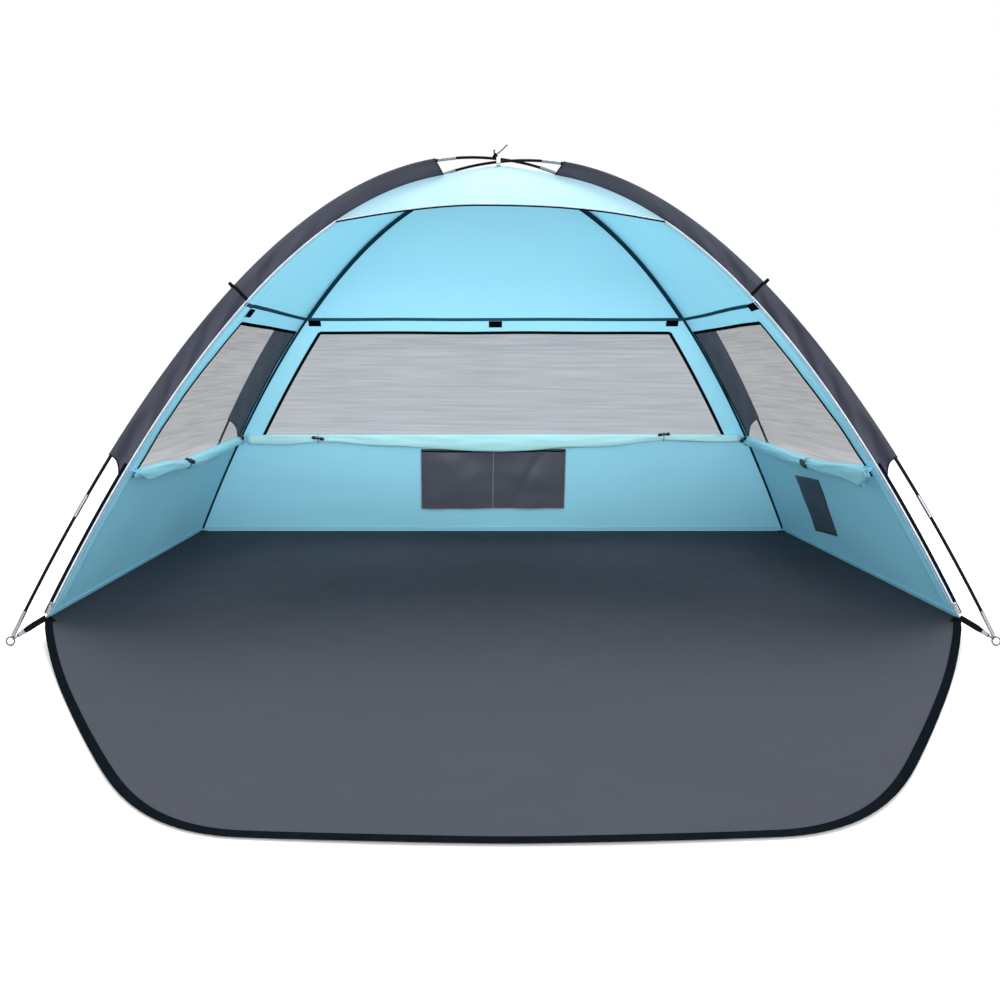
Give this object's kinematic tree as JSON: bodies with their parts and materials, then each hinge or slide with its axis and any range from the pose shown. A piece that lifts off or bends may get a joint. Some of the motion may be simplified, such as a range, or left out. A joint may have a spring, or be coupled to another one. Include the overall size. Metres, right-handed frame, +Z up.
{
  "type": "beach dome tent",
  "caption": "Pole-supported dome sun shelter with fabric skin, mesh windows, sleeved crossing poles and a floor panel that folds up as the door.",
  "frame": {"origin": "on the ground under the apex, on the floor sheet's underside", "axes": "+Z up, -Y out of the doorway, +X to the right for someone who looks in"},
  "size_m": [2.5682, 2.4476, 1.3408],
  "materials": {
    "floor_fabric": "coated woven, slight sheen",
    "canopy_outside": "coated polyester taffeta in full light",
    "canopy_fabric": "coated polyester taffeta",
    "window_mesh": "open knitted mesh",
    "sleeve_fabric": "woven polyester",
    "pocket_fabric": "woven polyester",
    "webbing": "woven tape",
    "tie_tape": "white tape",
    "fibreglass": "smooth black rod",
    "elastic_cord": "braided elastic",
    "steel": "zinc plated wire",
    "zip_metal": "plated zip slider"
  },
  "bodies": {
    "shelter": {"apex_tie": "tie_tape", "back_mesh": "window_mesh", "back_wall": "canopy_fabric", "floor": "floor_fabric", "left_mesh": "window_mesh", "left_wall": "canopy_fabric", "pocket": "pocket_fabric", "pole_a_section_01": "fibreglass", "pole_a_section_02": "fibreglass", "pole_a_section_03": "fibreglass", "pole_a_section_04": "fibreglass", "pole_a_section_05": "fibreglass", "pole_a_section_06": "fibreglass", "pole_a_section_07": "fibreglass", "pole_a_section_08": "fibreglass", "pole_a_section_09": "fibreglass", "pole_a_section_10": "fibreglass", "pole_a_section_11": "fibreglass", "pole_b_section_01": "fibreglass", "pole_b_section_02": "fibreglass", "pole_b_section_03": "fibreglass", "pole_b_section_04": "fibreglass", "pole_b_section_05": "fibreglass", "pole_b_section_06": "fibreglass", "pole_b_section_07": "fibreglass", "pole_b_section_08": "fibreglass", "pole_b_section_09": "fibreglass", "pole_b_section_10": "fibreglass", "pole_b_section_11": "fibreglass", "right_mesh": "window_mesh", "right_wall": "canopy_fabric", "roof_back": "canopy_fabric", "roof_front": "canopy_outside", "roof_left": "canopy_fabric", "roof_right": "canopy_fabric", "shock_cord_a": "elastic_cord", "shock_cord_b": "elastic_cord", "sleeve_back_left": "sleeve_fabric", "sleeve_back_right": "sleeve_fabric", "sleeve_front_left": "sleeve_fabric", "sleeve_front_right": "sleeve_fabric", "strap_back_left": "webbing", "strap_back_right": "webbing", "strap_front_left": "webbing", "strap_front_right": "webbing"},
    "door": {"door_panel": "floor_fabric"},
    "roll_back": {"roll_back": "canopy_fabric"},
    "roll_left": {"roll_left": "canopy_fabric"},
    "roll_right": {"roll_right": "canopy_fabric"},
    "slider_left": {"zip_slider_left": "zip_metal"},
    "slider_right": {"zip_slider_right": "zip_metal"},
    "pull_left": {"zip_pull_left": "zip_metal"},
    "pull_right": {"zip_pull_right": "zip_metal"},
    "ring_pin_front_left": {"ring_pin_front_left": "steel"},
    "ring_pin_front_right": {"ring_pin_front_right": "steel"},
    "ring_pin_back_left": {"ring_pin_back_left": "steel"},
    "ring_pin_back_right": {"ring_pin_back_right": "steel"}
  },
  "joints": [
    {"name": "door_fold", "type": "hinge", "parent": "shelter", "child": "door", "pos_m": [0, -0.7, 0.001], "axis": [-1, 0, 0], "range_deg": [0, 104]},
    {"name": "roll_back_lift", "type": "hinge", "parent": "shelter", "child": "roll_back", "pos_m": [0, 0.57398, 0.40758], "axis": [-1, 0, 0], "range_deg": [0, 20]},
    {"name": "roll_left_lift", "type": "hinge", "parent": "shelter", "child": "roll_left", "pos_m": [-1.01029, -0.00004, 0.39511], "axis": [-0.0203, -0.9996, 0.018], "range_deg": [0, 12]},
    {"name": "roll_right_lift", "type": "hinge", "parent": "shelter", "child": "roll_right", "pos_m": [1.01029, -0.00004, 0.39511], "axis": [-0.0203, 0.9996, -0.018], "range_deg": [0, 12]},
    {"name": "slider_left_travel", "type": "slide", "parent": "shelter", "child": "slider_left", "axis": [0.4225, 0.2464, 0.8722], "range_m": [0, 0.16]},
    {"name": "pull_left_swing", "type": "hinge", "parent": "slider_left", "child": "pull_left", "pos_m": [-1.18074, -0.70089, 0.09627], "axis": [-0.9, 0, 0.4359], "range_deg": [0, 150]},
    {"name": "slider_right_travel", "type": "slide", "parent": "shelter", "child": "slider_right", "axis": [-0.4225, 0.2464, 0.8722], "range_m": [0, 0.16]},
    {"name": "pull_right_swing", "type": "hinge", "parent": "slider_right", "child": "pull_right", "pos_m": [1.18074, -0.70089, 0.09627], "axis": [-0.9, 0, -0.4359], "range_deg": [0, 150]},
    {"name": "ring_pin_front_left_swivel", "type": "hinge", "parent": "shelter", "child": "ring_pin_front_left", "pos_m": [-1.27216, -0.74209, 0.01194], "axis": [0.4103, 0.2393, 0.88], "range_deg": [-12, 12]},
    {"name": "ring_pin_front_right_swivel", "type": "hinge", "parent": "shelter", "child": "ring_pin_front_right", "pos_m": [1.27212, -0.74207, 0.01196], "axis": [-0.4124, 0.2406, 0.8787], "range_deg": [-12, 12]},
    {"name": "ring_pin_back_left_swivel", "type": "hinge", "parent": "shelter", "child": "ring_pin_back_left", "pos_m": [-1.27212, 0.74207, 0.01196], "axis": [0.4124, -0.2406, 0.8787], "range_deg": [-12, 12]},
    {"name": "ring_pin_back_right_swivel", "type": "hinge", "parent": "shelter", "child": "ring_pin_back_right", "pos_m": [1.27216, 0.74209, 0.01194], "axis": [-0.4103, -0.2393, 0.88], "range_deg": [-12, 12]}
  ]
}
